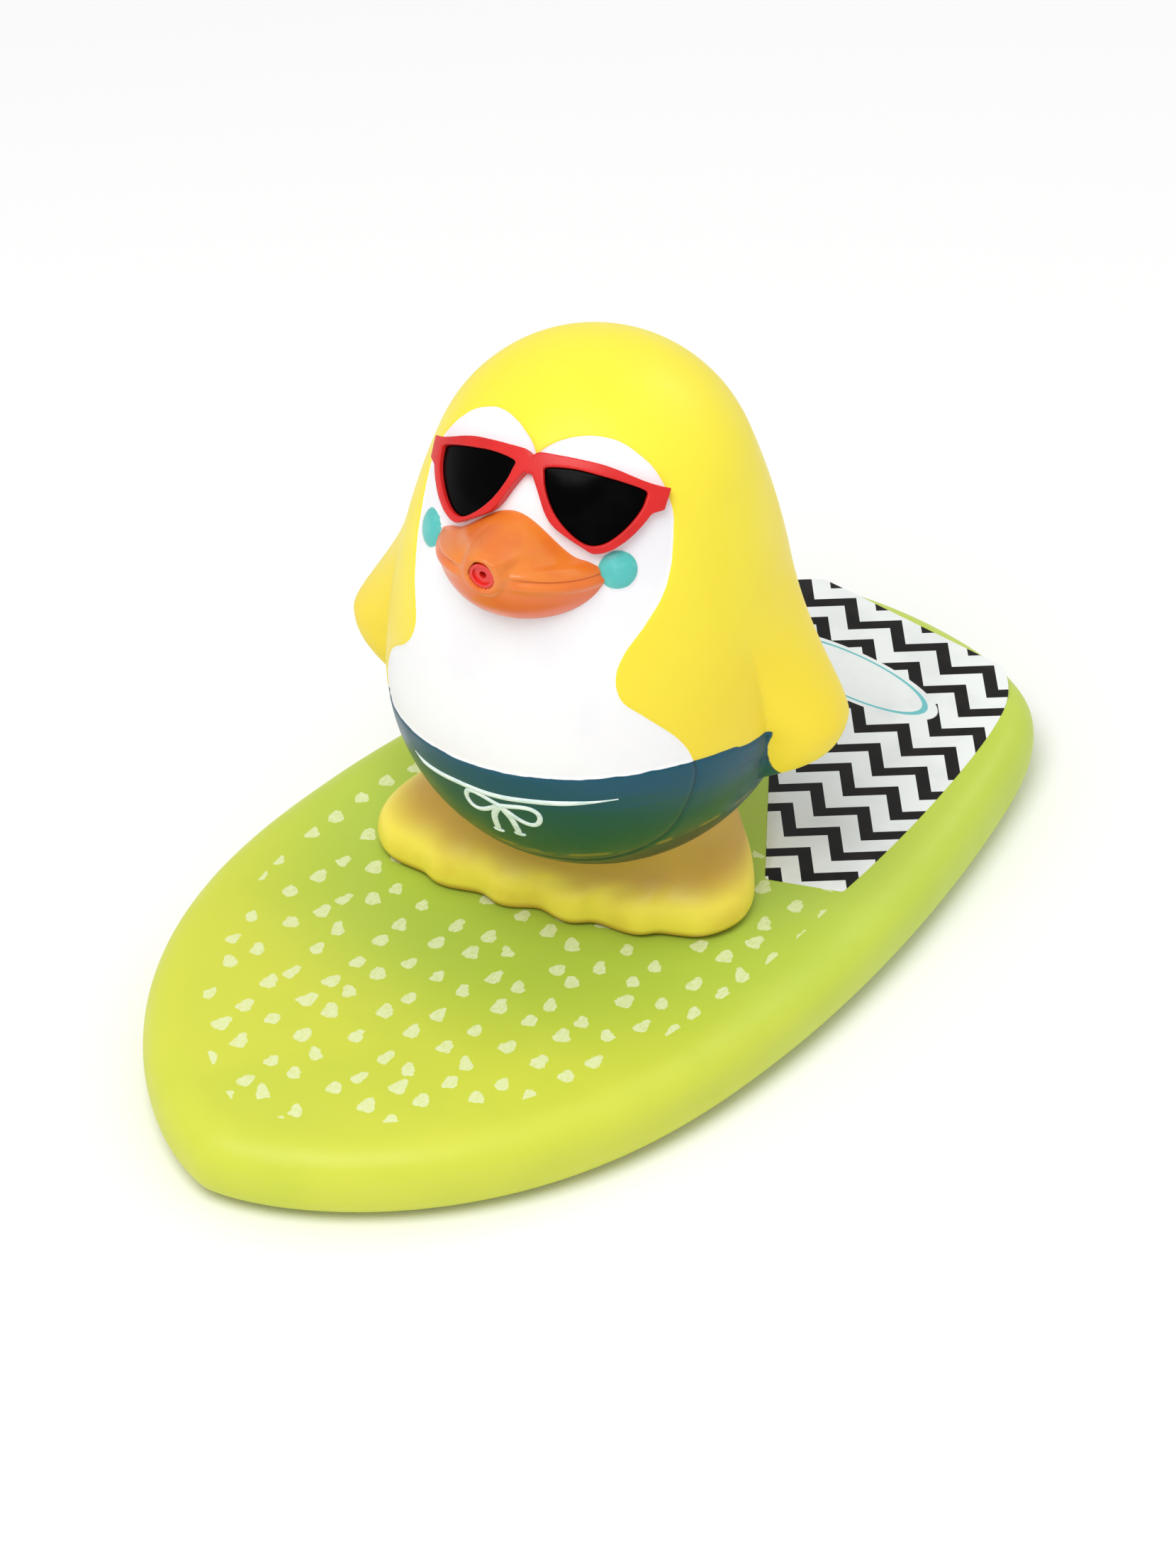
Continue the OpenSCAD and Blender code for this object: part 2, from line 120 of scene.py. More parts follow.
def segment_distance(points, line):
    """Shortest distance from each point to a line of many short segments."""
    best = np.full(len(points), np.inf)
    for a, b in zip(line[:-1], line[1:]):
        along = b - a
        t = np.clip((points - a) @ along / max(along @ along, 1e-12), 0, 1)
        gap = points - a - t[:, None] * along
        best = np.minimum(best, (gap * gap).sum(1))
    return np.sqrt(best)


def inside(x, y, ring):
    """True where a point lies in the closed ring."""
    found = np.zeros(len(x), bool)
    for (x0, y0), (x1, y1) in zip(ring, np.roll(ring, -1, 0)):
        crosses = (y0 > y) != (y1 > y)
        if y0 != y1:
            found ^= crosses & (x < (x1 - x0) * (y - y0) / (y1 - y0) + x0)
    return found


def in_figure(points, turn=0.0):
    """From the figure's own frame (axis at 0, deck at 0) to the board's frame."""
    angle = YAW + turn
    x, y, z = np.moveaxis(np.asarray(points, float), -1, 0)
    turned_x = x * cos(angle) - y * sin(angle)
    turned_y = AXIS_Y + x * sin(angle) + y * cos(angle)
    return np.stack([turned_x, turned_y, z + DECK], -1)


# ---- Making pieces ----

def add_piece(name, points, faces, body, material, replaces=(), attributes=None):
    """A smooth mesh object from points in mm, riding on a body."""
    mesh = bpy.data.meshes.new(name)
    mesh.from_pydata((np.asarray(points) * MM).tolist(), [], faces)
    for key, values in (attributes or {}).items():
        data = mesh.attributes.new(key, "FLOAT", "POINT").data
        data.foreach_set("value", np.asarray(values, np.float32))
    mesh.shade_smooth()
    mesh.set_sharp_from_angle(angle=math.radians(50))
    mesh.materials.append(material)
    piece = bpy.data.objects.new(name, mesh)
    bpy.context.scene.collection.objects.link(piece)
    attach(piece, body)
    if replaces:
        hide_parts(*replaces)


def loft(rings, first_pole, last_pole):
    """Points and outward faces of a closed skin over rings of equal count."""
    rings = np.asarray(rings, float)
    m, n = rings.shape[:2]
    points = np.vstack([rings.reshape(-1, 3), first_pole, last_pole])
    i = np.arange(n)
    j = np.arange(m - 1)[:, None]
    after = (i + 1) % n
    quads = np.stack([j * n + i, j * n + after, (j + 1) * n + after, (j + 1) * n + i], -1).reshape(-1, 4)
    start = np.stack([after, i, np.full(n, m * n)], -1)
    end = np.stack([(m - 1) * n + i, (m - 1) * n + after, np.full(n, m * n + 1)], -1)
    corners = points[quads]
    centre = points.mean(0)
    a, b, c, d = [corners[:, k] - centre for k in range(4)]
    volume = (np.cross(a, b) * c).sum() + (np.cross(a, c) * d).sum()
    faces = quads.tolist() + start.tolist() + end.tolist()
    if volume < 0:
        faces = [face[::-1] for face in faces]
    return points, faces


def joined(parts):
    """One point list and face list from several."""
    points, faces, offset = [], [], 0
    for part_points, part_faces in parts:
        points.append(part_points)
        faces += [[k + offset for k in face] for face in part_faces]
        offset += len(part_points)
    return np.vstack(points), faces


# ---- Shader helpers ----

def srgb(r, g, b):
    """A linear colour from 0 to 255 display values."""
    def linear(v):
        v /= 255
        return v / 12.92 if v <= 0.04045 else ((v + 0.055) / 1.055) ** 2.4
    return (linear(r), linear(g), linear(b), 1)


class Shader:
    """A Principled material with short calls for the nodes that feed it."""

    def __init__(self, name, roughness=0.45, specular=0.5, coat=0.0, coat_roughness=0.1, soft=0.0):
        self.material = bpy.data.materials.new(name)
        self.material.use_nodes = True
        self.tree = self.material.node_tree
        self.out = self.tree.nodes["Principled BSDF"]
        self.set("Roughness", roughness)
        self.set("Specular IOR Level", specular)
        self.set("Coat Weight", coat)
        self.set("Coat Roughness", coat_roughness)
        if soft:
            self.set("Subsurface Weight", soft)
            self.set("Subsurface Radius", (1.0, 0.7, 0.3))
            self.set("Subsurface Scale", 0.0015)
        where = self.node("ShaderNodeTexCoord").outputs["Object"]
        self.place = self.vector("SCALE", where, scale=1 / MM)

    def set(self, key, value):
        if isinstance(value, bpy.types.NodeSocket):
            self.tree.links.new(value, self.out.inputs[key])
        else:
            self.out.inputs[key].default_value = value

    def node(self, kind, inputs=(), **settings):
        made = self.tree.nodes.new(kind)
        for key, value in settings.items():
            setattr(made, key, value)
        for key, value in dict(inputs).items():
            if isinstance(value, bpy.types.NodeSocket):
                self.tree.links.new(value, made.inputs[key])
            else:
                made.inputs[key].default_value = value
        return made

    def math(self, operation, a, b=0.0, c=0.0):
        return self.node("ShaderNodeMath", {0: a, 1: b, 2: c}, operation=operation).outputs[0]

    def vector(self, operation, a, b=(0, 0, 0), scale=1.0):
        made = self.node("ShaderNodeVectorMath", {0: a, 1: b}, operation=operation)
        if operation == "SCALE":
            made.inputs["Scale"].default_value = scale
        return made.outputs["Value" if operation in ("LENGTH", "DISTANCE") else "Vector"]

    def split(self, vector):
        return self.node("ShaderNodeSeparateXYZ", {0: vector}).outputs

    def step(self, value, low, high, start=0.0, end=1.0):
        return self.node("ShaderNodeMapRange", {0: value, 1: low, 2: high, 3: start, 4: end},
                         interpolation_type="SMOOTHSTEP").outputs[0]

    def mix(self, share, a, b):
        return self.node("ShaderNodeMix", {0: share, 6: a, 7: b}, data_type="RGBA").outputs[2]

    def noise(self, size, detail=2.0, stretch=(1, 1, 1)):
        """Noise from 0 to 1 with features of about size mm, longer along an axis by stretch."""
        where = self.vector("MULTIPLY", self.place, tuple(1 / (size * s) for s in stretch))
        made = self.node("ShaderNodeTexNoise", {"Vector": where, "Scale": 1.0, "Detail": detail})
        return made.outputs["Fac"]

    def attribute(self, name):
        return self.node("ShaderNodeAttribute", attribute_name=name).outputs["Fac"]

    def bump(self, height, strength, depth):
        """Relief of depth mm from a height of 0 to 1."""
        made = self.node("ShaderNodeBump", {"Height": height, "Strength": strength, "Distance": depth * MM})
        self.set("Normal", made.outputs["Normal"])

    def vary(self, colour, dark, amount=0.5, size=14.0):
        """The colour, drifting towards dark in soft patches."""
        patches = self.step(self.noise(size, 3), 0.42, 0.72, 0.0, amount)
        return self.mix(patches, colour, dark)

    def moulded(self, low, high, grain=0.6, strength=0.12):
        """Roughness that drifts from low to high with fine rubbed streaks, over a fine moulded grain."""
        drift = self.noise(9, 3)
        rubbed = self.step(self.noise(1.2, 4, (1, 5, 1)), 0.58, 0.75)
        rough = self.math("MULTIPLY_ADD", rubbed, 0.06, self.step(drift, 0.3, 0.7, low, high))
        self.set("Roughness", rough)
        height = self.math("MULTIPLY_ADD", self.noise(grain, 3), 0.6, self.noise(grain * 6, 1))
        self.bump(height, strength, 0.12)


# ---- Board ----

WIDEST_SHIFT = 7.0
TAIL_TAPER = 0.43
RAIL_INSET = 8.0
RAIL_ROUND = 2.3
WIDEST_Y = -WIDEST_SHIFT
NOSE_LENGTH = LENGTH / 2 - WIDEST_SHIFT
TAIL_LENGTH = LENGTH / 2 + WIDEST_SHIFT
QUARTER = 110        # points on a quarter of the board's outline


def nose_half(share):
    return WIDTH / 2 * (1 - share ** 2.5) ** 0.67


def tail_half(share):
    return WIDTH / 2 * (1 - TAIL_TAPER * share ** 1.8) * np.sqrt(1 - share ** 19)


def outline_half(y):
    nose = nose_half(np.clip((WIDEST_Y - y) / NOSE_LENGTH, 0, 1))
    tail = tail_half(np.clip((y - WIDEST_Y) / TAIL_LENGTH, 0, 1))
    return np.where(y < WIDEST_Y, nose, tail)


def board_outline():
    """The outline from the nose round by +X to the tail and back by -X."""
    v = np.linspace(0, 1, QUARTER + 1)
    nose = 1 - v ** 2
    tail = 1 - (1 - v) ** 2.2
    x = np.concatenate([nose_half(nose), tail_half(tail[1:])])
    y = np.concatenate([WIDEST_Y - NOSE_LENGTH * nose, WIDEST_Y + TAIL_LENGTH * tail[1:]])
    right = np.stack([x, y], -1)
    left = right[-2:0:-1] * [-1, 1]
    return np.vstack([right, left])


def board_rings():
    outline = board_outline()
    axis = np.array([0, AXIS_Y])

    def away(centre):
        gap = outline - centre
        return gap / np.linalg.norm(gap, axis=1)[:, None]

    def level(flat, z):
        return np.column_stack([flat, np.full(len(flat), z)])

    def circle(centre, r, z):
        return level(centre + r * away(centre), z)

    def between(a, b, steps):
        return [a + (b - a) * t for t in np.linspace(0, 1, steps + 1)[1:-1]]

    plug_centre = np.array([0, (plug_low[1] + plug_high[1]) / 2])
    neck_r = 5.02
    head_r = 6.3
    head_room = 0.1
    wall = 2.0
    plug_room = [circle(plug_centre, head_r, plug_high[2] + head_room), circle(plug_centre, head_r, wall),
                 circle(plug_centre, neck_r, wall), circle(plug_centre, neck_r, 0)]
    rail = []
    for a in np.linspace(-90, 90, 61):
        inset = RAIL_INSET * (1 - max(cos(a), 0) ** (2 / RAIL_ROUND))
        z = DECK / 2 * (1 + np.sign(a) * abs(sin(a)) ** (2 / RAIL_ROUND))
        rail.append(level(outline - inset * away(axis), z))
    cup_gap = 0.03
    lip_width = 3.0
    lip_t = 1.0
    lip_r = (socket_high[0] - socket_low[0]) / 2 + cup_gap
    cup_r = lip_r - lip_width
    socket_room = [circle(axis, lip_r, DECK), circle(axis, lip_r, DECK - lip_t),
                   circle(axis, cup_r, DECK - lip_t), circle(axis, cup_r, socket_low[2])]
    rings = (plug_room + between(plug_room[-1], rail[0], 24) + rail
             + between(rail[-1], socket_room[0], 60) + socket_room)
    first_pole = [plug_centre[0], plug_centre[1], plug_high[2] + head_room]
    return rings, first_pole, [0, AXIS_Y, socket_low[2]]


def board_material():
    s = Shader("lime_vinyl", specular=0.4, soft=0.06)
    _, y, z = s.split(s.place)
    # Painted light and shade: the nose lighter and yellower, the deck darker and greener towards the tail,
    # as the light falls
    lit_nose_shaded_tail = s.step(y, -60, 45)
    base = s.mix(lit_nose_shaded_tail, srgb(213, 219, 70), srgb(197, 216, 78))
    # Painted shade: a darker green on the deck round the feet, where the figure shades it
    from_feet = s.vector("DISTANCE", s.vector("MULTIPLY", s.place, (1, 1, 0)), (-3, AXIS_Y - 2, 0))
    on_top = s.step(z, DECK - 3, DECK - 0.5)
    green = s.math("MULTIPLY", s.step(from_feet, 60, 26), on_top)
    base = s.mix(s.math("MULTIPLY", green, 0.7), base, srgb(160, 196, 72))
    colour = s.vary(base, srgb(186, 206, 60), 0.3, 22)
    # Printed drops: one in each cell, turned and sized at random
    wobble_mm = 0.9
    wobble = s.node("ShaderNodeTexNoise", {"Vector": s.place, "Scale": 0.9, "Detail": 1.0}).outputs["Color"]
    shaken = s.vector("ADD", s.place, s.vector("SCALE", wobble, scale=wobble_mm))
    drop_pitch = 6.3
    least_turn = -0.85      # radians, as the node asks
    least_half_width = 0.86
    least_half_length = 1.35
    squareness = 2.4
    cells = s.node("ShaderNodeTexVoronoi", {"Vector": shaken, "Scale": 1 / drop_pitch, "Randomness": 0.52},
                   voronoi_dimensions="2D")
    chance = s.split(cells.outputs["Color"])
    offset = s.vector("SUBTRACT", shaken, cells.outputs["Position"])
    angle = s.math("MULTIPLY_ADD", chance[0], 0.9, least_turn)
    turned = s.node("ShaderNodeVectorRotate", {"Vector": offset, "Angle": angle}, rotation_type="Z_AXIS")
    across, along, _ = s.split(turned.outputs[0])
    half_width = s.math("MULTIPLY_ADD", chance[1], 0.35, least_half_width)
    half_length = s.math("MULTIPLY_ADD", chance[2], 0.5, least_half_length)
    taper = s.math("MULTIPLY_ADD", along, 0.22, 1.0)
    u = s.math("DIVIDE", s.math("MULTIPLY", across, taper), half_width)
    v = s.math("DIVIDE", along, half_length)
    power_u = s.math("POWER", s.math("ABSOLUTE", u), squareness)
    power_v = s.math("POWER", s.math("ABSOLUTE", v), squareness)
    reach = s.math("ADD", power_u, power_v)
    drop = s.step(reach, 1.08, 0.92)
    drops_margin = 9.4
    drops_end_y = AXIS_Y + 17
    in_margin = s.step(s.attribute("inset"), drops_margin, drops_margin + 0.1)
    on_deck = s.math("MULTIPLY", in_margin, s.step(z, DECK - 0.3, DECK - 0.2))
    in_front = s.step(y, drops_end_y + 0.2, drops_end_y)
    brushed = s.step(s.noise(0.35, 2, (1, 3, 1)), 0.3, 0.6, 0.55, 0.85)
    share = s.math("MULTIPLY", s.math("MULTIPLY", drop, on_deck), s.math("MULTIPLY", in_front, brushed))
    s.set("Base Color", s.mix(share, colour, srgb(233, 241, 190)))
    s.moulded(0.4, 0.52)
    return s.material


def make_board():
    rings, first_pole, last_pole = board_rings()
    points, faces = loft(rings, first_pole, last_pole)
    outline = board_outline()
    inset = segment_distance(points[:, :2], np.vstack([outline, outline[:1]])[::2])
    add_piece("surfboard", points, faces, "board", board_material(),
              replaces=["board_shell"], attributes={"inset": inset})


# ---- Tail pad ----

PAD_FRONT_Y = AXIS_Y + 12.5
PAD_POINT = 25.0
PAD_NOTCH = 32.0
PAD_MARGIN_FRONT = 9.8
PAD_MARGIN_TAIL = 5.2
PAD_PROUD = 0.06     # how far the printed film stands over the deck


def pad_outline():
    corner_y = PAD_FRONT_Y + 5.5
    tail_y = LENGTH / 2 - PAD_MARGIN_TAIL
    y = corner_y + (tail_y - corner_y) * (1 - (1 - np.linspace(0, 1, 60)[:-1]) ** 1.6)
    margin = PAD_MARGIN_FRONT - (PAD_MARGIN_FRONT - PAD_MARGIN_TAIL) * (y - corner_y) / (tail_y - corner_y)
    side = np.stack([outline_half(y) - margin, y], -1)
    tail_corner = 6.0
    end = outline_half(np.array([tail_y]))[0] - PAD_MARGIN_TAIL - tail_corner
    half = np.vstack([[0, PAD_FRONT_Y + PAD_NOTCH], [PAD_POINT, PAD_FRONT_Y], side, [end, tail_y]])
    ring = np.vstack([half, half[:0:-1] * [-1, 1]])
    # Even steps round the ring, then a running mean that rounds its corners
    closed = np.vstack([ring, ring[:1]])
    walked = np.concatenate([[0], np.cumsum(np.linalg.norm(np.diff(closed, axis=0), axis=1))])
    even = np.linspace(0, walked[-1], 720, endpoint=False)
    dense = np.stack([np.interp(even, walked, closed[:, k]) for k in (0, 1)], -1)
    return sum(np.roll(dense, k, 0) for k in (-1, 0, 1)) / 3


def pad_material():
    s = Shader("zigzag_print", specular=0.2)
    x, y, _ = s.split(s.place)
    # Zigzag bands at 45 degrees
    half_period = 4.87
    pitch = 7.2
    lean = 0.036
    peak_x = 20.2
    band_y = 25.7
    row_middle = 0.21
    upright_x = s.math("MULTIPLY_ADD", s.math("SUBTRACT", y, 20.0), -lean, x)
    fold = s.math("PINGPONG", s.math("SUBTRACT", upright_x, peak_x - 20 * half_period), half_period)
    rows = s.math("DIVIDE", s.math("SUBTRACT", s.math("SUBTRACT", y, fold), band_y - 20 * pitch), pitch)
    place_in_row = s.math("FRACT", rows)
    from_middle = s.math("ABSOLUTE", s.math("SUBTRACT", place_in_row, row_middle))
    around = s.math("ABSOLUTE", s.math("SUBTRACT", place_in_row, row_middle + 1))
    band = s.step(s.math("MINIMUM", from_middle, around), 0.214, 0.206)
    # Blank oval with a thin teal line
    oval = s.vector("SUBTRACT", s.place, (1.0, AXIS_Y + 63.7, 0))
    oval_x, oval_y, _ = s.split(oval)
    oval_half_length = 15.4
    oval_half_width = 5.1
    share_x = s.math("DIVIDE", oval_x, oval_half_length)
    share_y = s.math("DIVIDE", oval_y, oval_half_width)
    square_x = s.math("MULTIPLY", share_x, share_x)
    square_y = s.math("MULTIPLY", share_y, share_y)
    radius = s.math("SQRT", s.math("ADD", square_x, square_y))
    outside = s.step(radius, 1.16, 1.175)
    line = s.step(s.math("ABSOLUTE", s.math("SUBTRACT", radius, 1.0)), 0.043, 0.033)
    black = s.vary(srgb(16, 14, 13), srgb(34, 31, 29), 0.5, 4)
    white = s.vary(srgb(243, 247, 246), srgb(226, 230, 230), 0.6, 9)
    colour = s.mix(s.math("MULTIPLY", band, outside), white, black)
    s.set("Base Color", s.mix(line, colour, srgb(118, 199, 203)))
    s.moulded(0.38, 0.5, 0.3, 0.06)
    return s.material


def make_pad():
    outline = pad_outline()
    centre = np.array([0, AXIS_Y + 60])
    depth = 0.4
    top = DECK + PAD_PROUD
    low = DECK - depth
    rings = []
    for inset, z in [(0.3, low), (0.02, low), (0, top - 0.05), (0.03, top - 0.015), (0.1, top)]:
        gap = outline - centre
        flat = outline - inset * gap / np.linalg.norm(gap, axis=1)[:, None]
        rings.append(np.column_stack([flat, np.full(len(flat), z)]))
    edge = rings[-1]
    middle = np.array([centre[0], centre[1], top])
    rings += [middle + (edge - middle) * t for t in (0.75, 0.5, 0.25)]
    points, faces = loft(rings, [centre[0], centre[1], low], middle)
    add_piece("zigzag_pad", points, faces, "board", pad_material(), replaces=["tail_pad"])


# ---- Body ----

BELLY_R = 32.6
CROWN_R = 26.0
FLANK_R = 131.0
BODY_LOW = 6.6
BELLY_Z = BODY_LOW + BELLY_R
CROWN_Z = body_high[2] - DECK - CROWN_R
FLANK_Z = (((FLANK_R - BELLY_R) ** 2 - (FLANK_R - CROWN_R) ** 2) / (2 * (CROWN_Z - BELLY_Z))
           + (BELLY_Z + CROWN_Z) / 2)
FLANK_X = -math.sqrt((FLANK_R - BELLY_R) ** 2 - (FLANK_Z - BELLY_Z) ** 2)
BELLY_END = math.degrees(math.atan2(BELLY_Z - FLANK_Z, -FLANK_X))
CROWN_START = math.degrees(math.atan2(CROWN_Z - FLANK_Z, -FLANK_X))
MOUTH_R = 12.0
SPIGOT_TOP = 13.8

FLIPPER_OUT = 8.7
FLIPPER_TIP_Z = BODY_LOW + 29.5
FLIPPER_TOP_Z = BODY_LOW + 55.5
FLIPPER_END_Z = BODY_LOW + 21.5
FLIPPER_HALF = 16.0
FLIPPER_SWEEP = 4.0
FLIPPER_WIDEN = 7.0     # how much wider, to each side, its root is at the top
FLIPPER_RAISE = 2.4     # how much higher the one on the -X side sits
PAINT_SEAM = 0.3        # over how many mm the relief fades at an edge of the paint


def body_radius(z):
    """Radius of the body without flippers at height z."""
    z = np.asarray(z, float)
    belly = np.sqrt(np.maximum(0, BELLY_R ** 2 - (z - BELLY_Z) ** 2))
    crown = np.sqrt(np.maximum(0, CROWN_R ** 2 - (z - CROWN_Z) ** 2))
    flank = FLANK_X + np.sqrt(np.maximum(0, FLANK_R ** 2 - (z - FLANK_Z) ** 2))
    above_belly = z >= BELLY_Z + BELLY_R * sin(BELLY_END)
    in_crown = z > CROWN_Z + CROWN_R * sin(CROWN_START)
    return np.where(in_crown, crown, np.where(above_belly, flank, belly))


def flipper(angle, z):
    """How far a flipper stands out at an angle from the front and a height."""
    z = z - FLIPPER_RAISE * (angle < 0)
    up = np.clip((z - FLIPPER_TIP_Z) / (FLIPPER_TOP_Z - FLIPPER_TIP_Z), 0, 1)
    down = np.clip((FLIPPER_TIP_Z - z) / (FLIPPER_TIP_Z - FLIPPER_END_Z), 0, 1)
    edge = FLIPPER_OUT * np.where(z > FLIPPER_TIP_Z, (1 - up ** 1.2) ** 2, np.sqrt(1 - down ** 2.6))
    half = FLIPPER_HALF + FLIPPER_WIDEN * up
    across = np.abs(np.abs(angle) - 90 - FLIPPER_SWEEP) / half
    return edge * np.maximum(0, 1 - across ** 2.5) ** 0.9


def on_body(angle, z, out=0.0):
    """Point of the body's surface at an angle from the front and a height, in the figure's frame."""
    r = body_radius(z) + out
    return np.stack([r * sin(angle), -r * cos(angle), z + 0 * r], -1)


# White face and belly: its edge on the right half from the notch between the eyes down, in degrees
# from the face's middle and mm above the deck; the left half likewise, upwards
BIB_RIGHT = [(-0.8, 88.9), (4.4, 90.2), (13, 91.2), (26, 91.6), (39, 91.1), (48.7, 89.4), (55, 86.7),
             (57.3, 82.4), (55.8, 77.5), (50.7, 70.6), (43.3, 65.7), (36, 61.1), (33.4, 57.1), (35, 53.4),
             (40.5, 50.7), (49.5, 46.1), (54.6, 41.6), (56, 36.7), (52, 27.9), (46, 23), (30, 18.5), (0, 17)]
BIB_LEFT = [(0, 17), (-30, 18.5), (-46, 23), (-52, 27.9), (-56, 36.7), (-54.6, 41.6), (-49.5, 46.1),
            (-40.5, 50.2), (-36.5, 53.5), (-36.4, 57), (-43, 63.4), (-52.4, 73.1), (-58.6, 78),
            (-57.8, 82.4), (-52.5, 87.9), (-42.8, 90.4), (-31.6, 91.3), (-19.6, 91.2), (-10.7, 90.6),
            (-5, 89.9), (-0.8, 88.9)]
# Waist and hem of the trunks, in degrees from the feet's middle and mm above the deck
WAIST = [(-180, 38), (-90, 36), (-55, 35.6), (-24, 37.4), (15, 39.4), (42, 40.4), (62, 39.9),
         (80, 38.5), (180, 38)]
HEM = [(-180, 19), (-60, 21), (-11, 20), (8, 19.8), (27, 21), (44, 22.4), (58, 23.9), (90, 25), (180, 19)]
CHEEKS = [(35.2, 3.8), (-39.5, 0.8)]
CHEEK_R = 3.05


def body_paint(angle, z, points):
    """Distances in mm to the edges of the painted fields, for each point of the body."""
    face_angle = (angle - FACE_TURN + 180) % 360 - 180
    edge = np.vstack([spline(BIB_RIGHT, 8), spline(BIB_LEFT, 8)[1:]])
    edge_points = in_figure(on_body(edge[:, 0], edge[:, 1]), FACE_TURN)
    bib = segment_distance(points, edge_points)
    bib[~inside(face_angle, z, edge)] *= -1
    waist_line = spline(WAIST, 8)
    waist = np.interp(angle, waist_line[:, 0], waist_line[:, 1]) - z
    hem_line = spline(HEM, 8)
    hem = z - np.interp(angle, hem_line[:, 0], hem_line[:, 1])
    cheek = np.full(len(z), -50.0)
    for cheek_angle, cheek_z in CHEEKS:
        centre = in_figure(on_body(cheek_angle, CROWN_Z + cheek_z), FACE_TURN)
        cheek = np.maximum(cheek, CHEEK_R - np.linalg.norm(points - centre, axis=1))
    # Where a flipper covers the trunks
    low = FLIPPER_END_Z - 0.3
    fall = np.clip(FLIPPER_TIP_Z - z, 0, None) / (FLIPPER_TIP_Z - low)
    half_angle = FLIPPER_HALF * np.clip(1 - fall ** 3, 0, 1) ** 0.33
    wing = (half_angle - np.abs(np.abs(angle) - 90 - FLIPPER_SWEEP)) * math.radians(1) * BELLY_R
    wing = np.where(z < low, np.minimum(wing, z - low), wing)
    return {"bib": bib, "waist": waist, "hem": hem, "cheek": cheek, "wing": wing}


def body_rings():
    """Angle from the front, height and steepness at each point of the body, as three equal grids."""
    start = -math.degrees(math.acos(MOUTH_R / BELLY_R))
    belly = np.linspace(start, BELLY_END, 125)[:-1]
    flank = np.linspace(BELLY_END, CROWN_START, 60)[:-1]
    crown = np.linspace(CROWN_START, 89.6, 105)
    z = np.concatenate([BELLY_Z + BELLY_R * sin(belly), FLANK_Z + FLANK_R * sin(flank),
                        CROWN_Z + CROWN_R * sin(crown)])
    slope = np.concatenate([belly, flank, crown])
    angle = np.linspace(-180, 180, 520, endpoint=False)
    heights, slopes = [np.repeat(column[:, None], len(angle), 1) for column in (z, slope)]
    return np.meshgrid(angle, z)[0], heights, slopes


def body_material():
    s = Shader("painted_vinyl", specular=0.32, soft=0.05)
    _, _, z = s.split(s.place)
    hand = s.math("MULTIPLY_ADD", s.noise(3.5, 2), 0.5, -0.25)
    bib = s.math("ADD", s.attribute("bib"), s.math("MULTIPLY", hand, 0.5))
    waist = s.math("ADD", s.attribute("waist"), s.math("MULTIPLY", hand, 0.8))
    wing = s.math("ADD", s.attribute("wing"), hand)
    edge = 0.07
    # Yellow coat, deeper and darker lower down: partly the coat's own tone, partly painted shade
    low_tone_and_shade = s.step(z, DECK + 75, DECK + 35)
    coat = s.mix(low_tone_and_shade, srgb(250, 233, 62), srgb(248, 222, 56))
    coat = s.vary(coat, srgb(246, 216, 48), 0.3, 24)
    white = s.vary(srgb(247, 246, 248), srgb(233, 231, 238), 0.45, 16)
    colour = s.mix(s.step(bib, -edge, edge), coat, white)
    # Trunks: blue at the waist, green below, brushed sideways
    streak = s.math("MULTIPLY_ADD", s.noise(2.0, 4, (6, 6, 0.5)), 7.0, -3.5)
    drop = s.math("ADD", s.attribute("waist"), streak)
    cloth = s.mix(s.step(drop, 2.0, 9.0), srgb(8, 78, 98), srgb(10, 80, 68))
    cloth = s.mix(s.step(drop, 7.0, 16.0), cloth, srgb(11, 80, 54))
    dabs = s.step(s.noise(2.4, 4, (1, 1, 0.6)), 0.53, 0.62)
    near_wing = s.step(s.attribute("wing"), -9.0, -1.5)
    cloth = s.mix(s.math("MULTIPLY", s.math("MULTIPLY", dabs, near_wing), 0.7), cloth, srgb(6, 56, 78))
    hem = s.math("ADD", s.attribute("hem"), s.math("MULTIPLY", hand, 1.2))
    near_hem = s.step(s.math("ABSOLUTE", hem), 0.75, 0.1)
    thin = s.math("MULTIPLY", near_hem, s.step(s.noise(4, 3), 0.44, 0.56, 0.0, 0.75))
    cloth = s.mix(thin, cloth, srgb(150, 128, 44))
    cloth = s.mix(s.step(hem, -0.3, -1.0), cloth, srgb(10, 66, 48))
    # Painted shade: a dark line in the moulded groove along the edge of the white, where it runs through the
    # trunks
    groove_shade = s.step(s.math("ABSOLUTE", s.attribute("bib")), 0.32, 0.12, 0.0, 0.65)
    cloth = s.mix(groove_shade, cloth, srgb(6, 50, 58))
    trunks = s.math("MULTIPLY", s.step(waist, -edge, edge), s.step(wing, edge, -edge))
    colour = s.mix(trunks, colour, cloth)
    cheek = s.step(s.attribute("cheek"), -edge, edge)
    teal = s.vary(srgb(88, 192, 186), srgb(118, 208, 202), 0.6, 2.5)
    s.set("Base Color", s.mix(cheek, colour, teal))
    s.moulded(0.36, 0.48)
    painted = s.math("MAXIMUM", trunks, cheek)
    rough = s.out.inputs["Roughness"].links[0].from_socket
    s.set("Roughness", s.math("MULTIPLY_ADD", painted, -0.08, rough))
    return s.material


